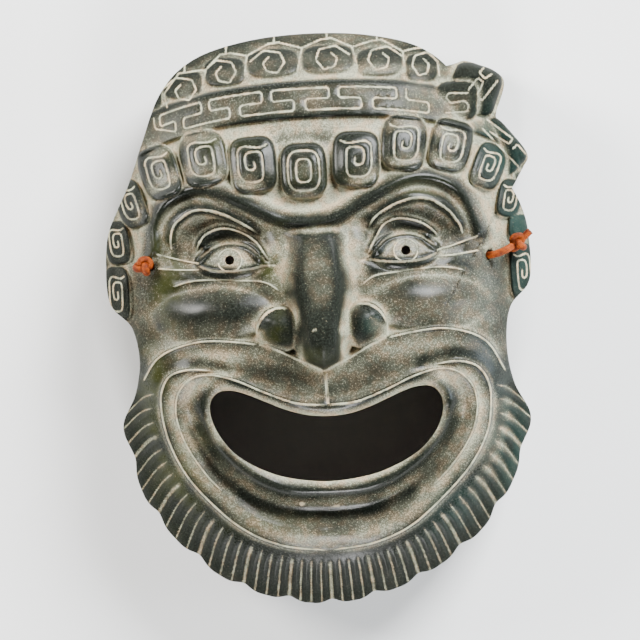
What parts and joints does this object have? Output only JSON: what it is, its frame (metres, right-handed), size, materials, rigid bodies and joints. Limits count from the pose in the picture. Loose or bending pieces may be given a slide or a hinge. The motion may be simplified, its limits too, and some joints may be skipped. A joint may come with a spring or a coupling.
{
  "type": "comedy mask",
  "caption": "Hollow ceramic theatre mask with a wide open mouth, curled hair, headband and fluted beard, and a leather thong through its temples.",
  "frame": {"origin": "middle of the mask's outline, in the plane of its back rim, which it lies on", "axes": "+Z out of the face, +Y to the crown, +X to the viewer's right"},
  "size_m": [0.1814, 0.2397, 0.0872],
  "materials": {
    "ceramic": "dark green-grey satin glaze with a cream wash left in the carved lines",
    "leather": "orange-brown leather cord, dry and matt"
  },
  "bodies": {
    "root": {"mask": "ceramic", "thong": "leather", "knot_left": "leather", "knot_right": "leather"}
  },
  "joints": []
}
